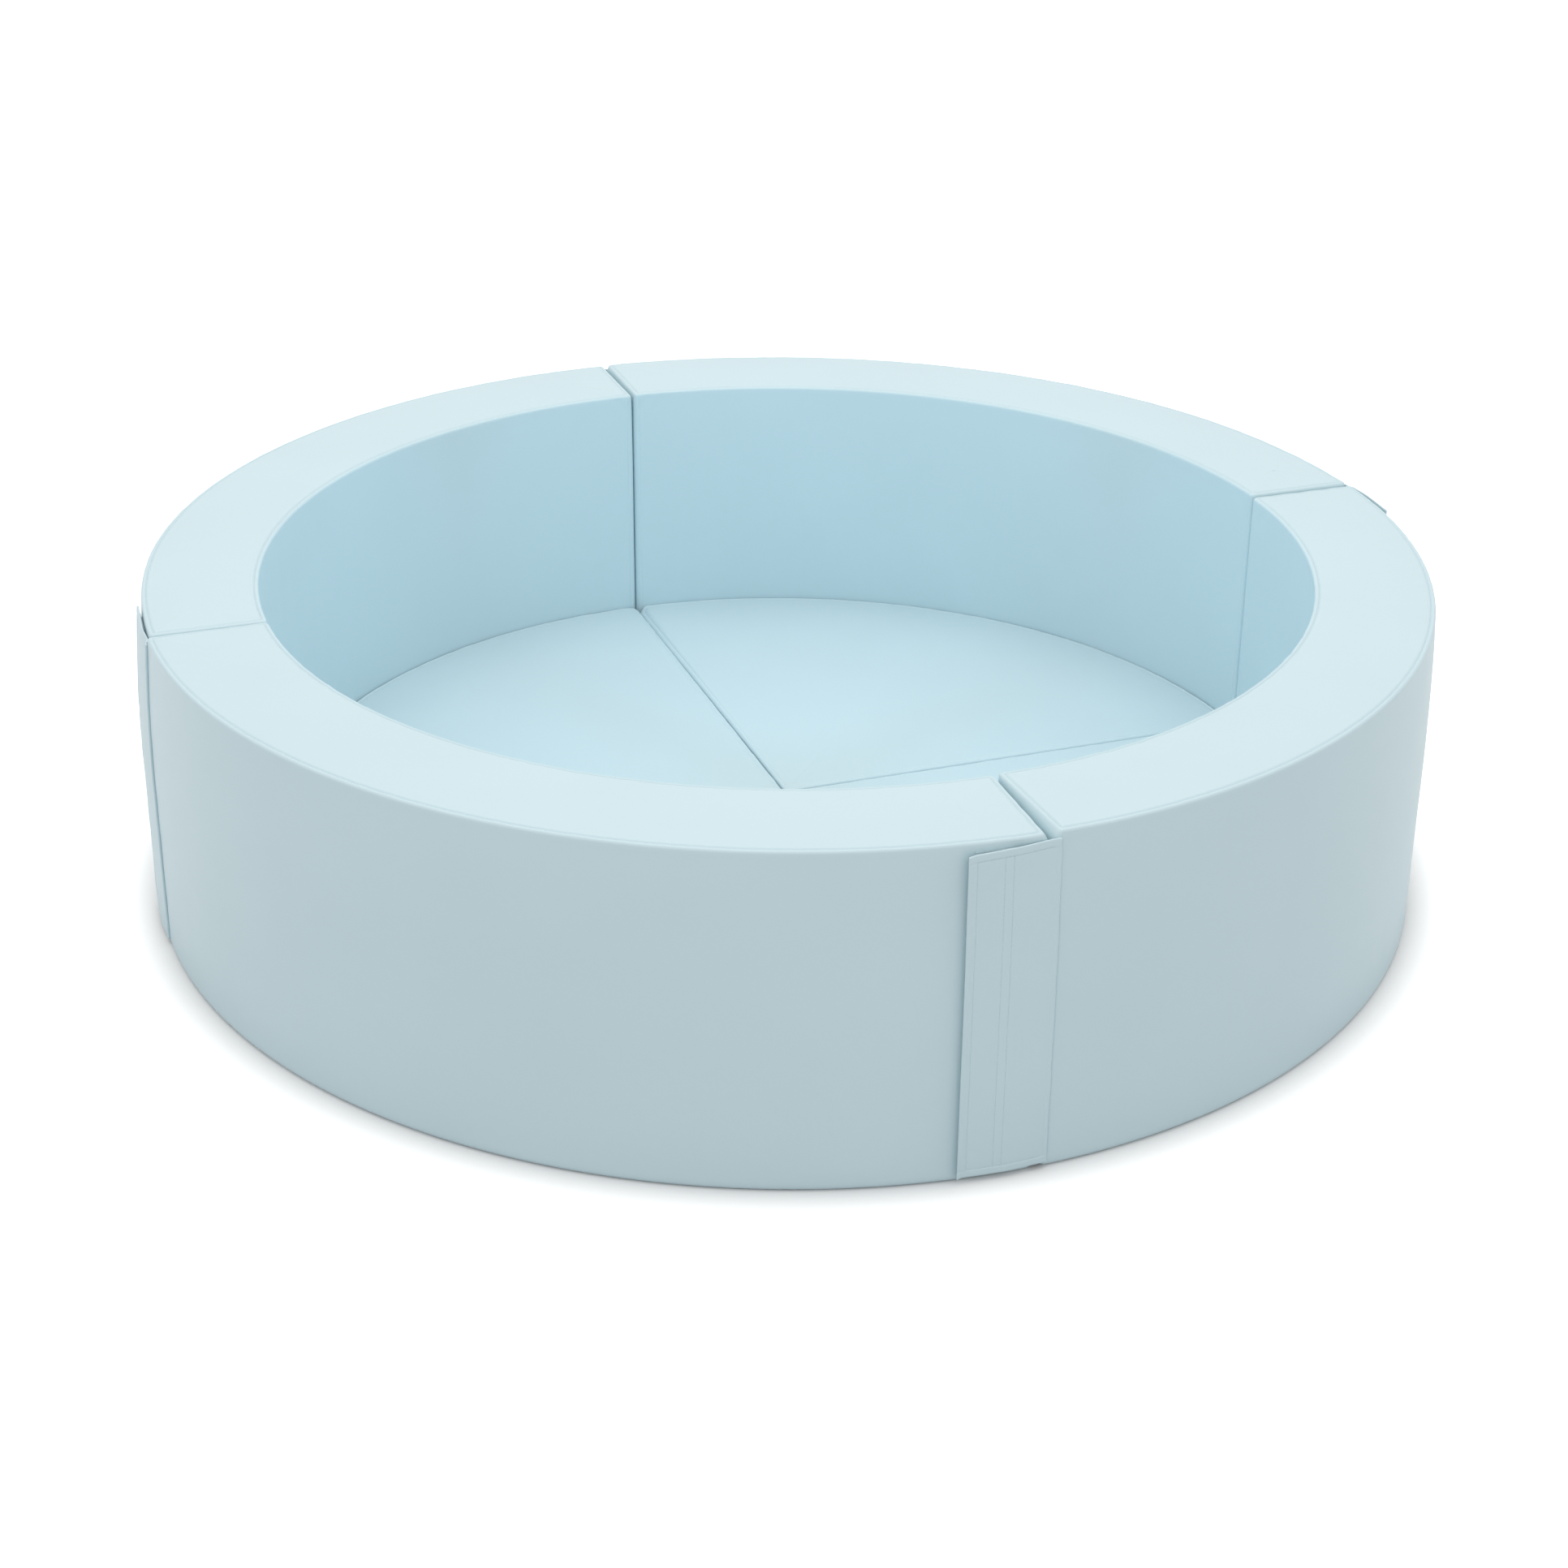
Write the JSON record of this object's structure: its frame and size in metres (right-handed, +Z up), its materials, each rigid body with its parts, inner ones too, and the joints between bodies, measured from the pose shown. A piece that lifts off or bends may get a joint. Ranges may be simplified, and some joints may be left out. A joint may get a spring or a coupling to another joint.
{
  "type": "sectional foam ball pit",
  "caption": "Round foam ball pit of curved wall sections joined by hook-and-loop flaps round quarter-round floor cushions, in zip-off padded covers.",
  "frame": {"origin": "on the floor at the centre of the ring, which is the centre of the box's base", "axes": "+Z up out of the pit; -Y towards the side that the picture was taken from; +X to its right"},
  "size_m": [1.4986, 1.4986, 0.383],
  "materials": {
    "vinyl": "powder-blue coated vinyl leatherette, satin, with a faint grain",
    "foam": "cream open-cell foam",
    "zip_tape": "woven zip tape with a coil chain",
    "slider_metal": "bright nickel",
    "hook_strip": "white hook fastener",
    "loop_strip": "pale blue loop fastener"
  },
  "bodies": {
    "back_wall_section": {"back_wall_cover": "vinyl", "back_wall_foam": "foam", "back_wall_zip": "zip_tape", "back_wall_loop_strip": "loop_strip"},
    "left_wall_section": {"left_wall_cover": "vinyl", "left_wall_foam": "foam", "left_wall_zip": "zip_tape", "left_wall_loop_strip": "loop_strip"},
    "front_wall_section": {"front_wall_cover": "vinyl", "front_wall_foam": "foam", "front_wall_zip": "zip_tape", "front_wall_loop_strip": "loop_strip"},
    "right_wall_section": {"right_wall_cover": "vinyl", "right_wall_foam": "foam", "right_wall_zip": "zip_tape", "right_wall_loop_strip": "loop_strip"},
    "back_joining_flap": {"back_joining_flap": "vinyl", "back_flap_hook_strip": "hook_strip"},
    "left_joining_flap": {"left_joining_flap": "vinyl", "left_flap_hook_strip": "hook_strip"},
    "front_joining_flap": {"front_joining_flap": "vinyl", "front_flap_hook_strip": "hook_strip"},
    "right_joining_flap": {"right_joining_flap": "vinyl", "right_flap_hook_strip": "hook_strip"},
    "back_floor_cushion": {"back_floor_cover": "vinyl", "back_floor_foam": "foam", "back_floor_zip": "zip_tape"},
    "left_floor_cushion": {"left_floor_cover": "vinyl", "left_floor_foam": "foam", "left_floor_zip": "zip_tape"},
    "front_floor_cushion": {"front_floor_cover": "vinyl", "front_floor_foam": "foam", "front_floor_zip": "zip_tape"},
    "right_floor_cushion": {"right_floor_cover": "vinyl", "right_floor_foam": "foam", "right_floor_zip": "zip_tape"},
    "back_wall_zip_slider": {"back_wall_zip_slider": "slider_metal"},
    "left_wall_zip_slider": {"left_wall_zip_slider": "slider_metal"},
    "front_wall_zip_slider": {"front_wall_zip_slider": "slider_metal"},
    "right_wall_zip_slider": {"right_wall_zip_slider": "slider_metal"},
    "back_floor_zip_slider": {"back_floor_zip_slider": "slider_metal"},
    "left_floor_zip_slider": {"left_floor_zip_slider": "slider_metal"},
    "front_floor_zip_slider": {"front_floor_zip_slider": "slider_metal"},
    "right_floor_zip_slider": {"right_floor_zip_slider": "slider_metal"}
  },
  "joints": [
    {"name": "front_wall_swing", "type": "hinge", "parent": "right_wall_section", "child": "front_wall_section", "pos_m": [0.26534, -0.70267, 0.19], "axis": [0, 0, 1], "range_deg": [0, 80]},
    {"name": "left_wall_lift", "type": "slide", "parent": "right_wall_section", "child": "left_wall_section", "axis": [0, 0, 1], "range_m": [0, 0.42]},
    {"name": "back_wall_swing", "type": "hinge", "parent": "left_wall_section", "child": "back_wall_section", "pos_m": [-0.26276, 0.70364, 0.19], "axis": [0, 0, 1], "range_deg": [0, 80]},
    {"name": "right_flap_peel", "type": "hinge", "parent": "front_wall_section", "child": "right_joining_flap", "pos_m": [0.26534, -0.70267, 0.19], "axis": [0, 0, 1], "range_deg": [0, 85]},
    {"name": "left_flap_peel", "type": "hinge", "parent": "back_wall_section", "child": "left_joining_flap", "pos_m": [-0.26276, 0.70364, 0.19], "axis": [0, 0, 1], "range_deg": [0, 85]},
    {"name": "front_flap_peel", "type": "hinge", "parent": "front_wall_section", "child": "front_joining_flap", "pos_m": [-0.70399, -0.26183, 0.19], "axis": [0, 0, 1], "range_deg": [0, 165]},
    {"name": "back_flap_peel", "type": "hinge", "parent": "back_wall_section", "child": "back_joining_flap", "pos_m": [0.70399, 0.26183, 0.19], "axis": [0, 0, 1], "range_deg": [0, 165]},
    {"name": "back_floor_lift", "type": "slide", "parent": "right_wall_section", "child": "back_floor_cushion", "axis": [0, 0, 1], "range_m": [0, 0.42]},
    {"name": "left_floor_lift", "type": "slide", "parent": "right_wall_section", "child": "left_floor_cushion", "axis": [0, 0, 1], "range_m": [0, 0.42]},
    {"name": "front_floor_lift", "type": "slide", "parent": "right_wall_section", "child": "front_floor_cushion", "axis": [0, 0, 1], "range_m": [0, 0.42]},
    {"name": "right_floor_lift", "type": "slide", "parent": "right_wall_section", "child": "right_floor_cushion", "axis": [0, 0, 1], "range_m": [0, 0.42]},
    {"name": "back_wall_zip_run", "type": "hinge", "parent": "back_wall_section", "child": "back_wall_zip_slider", "pos_m": [0, 0, 0], "axis": [0, 0, 1], "range_deg": [-69, 0]},
    {"name": "left_wall_zip_run", "type": "hinge", "parent": "left_wall_section", "child": "left_wall_zip_slider", "pos_m": [0, 0, 0], "axis": [0, 0, 1], "range_deg": [-69, 0]},
    {"name": "front_wall_zip_run", "type": "hinge", "parent": "front_wall_section", "child": "front_wall_zip_slider", "pos_m": [0, 0, 0], "axis": [0, 0, 1], "range_deg": [-69, 0]},
    {"name": "right_wall_zip_run", "type": "hinge", "parent": "right_wall_section", "child": "right_wall_zip_slider", "pos_m": [0, 0, 0], "axis": [0, 0, 1], "range_deg": [-69, 0]},
    {"name": "back_floor_zip_run", "type": "hinge", "parent": "back_floor_cushion", "child": "back_floor_zip_slider", "pos_m": [0, 0, 0], "axis": [0, 0, 1], "range_deg": [-67.5, 0]},
    {"name": "left_floor_zip_run", "type": "hinge", "parent": "left_floor_cushion", "child": "left_floor_zip_slider", "pos_m": [0, 0, 0], "axis": [0, 0, 1], "range_deg": [-67.5, 0]},
    {"name": "front_floor_zip_run", "type": "hinge", "parent": "front_floor_cushion", "child": "front_floor_zip_slider", "pos_m": [0, 0, 0], "axis": [0, 0, 1], "range_deg": [-67.5, 0]},
    {"name": "right_floor_zip_run", "type": "hinge", "parent": "right_floor_cushion", "child": "right_floor_zip_slider", "pos_m": [0, 0, 0], "axis": [0, 0, 1], "range_deg": [-67.5, 0]}
  ]
}
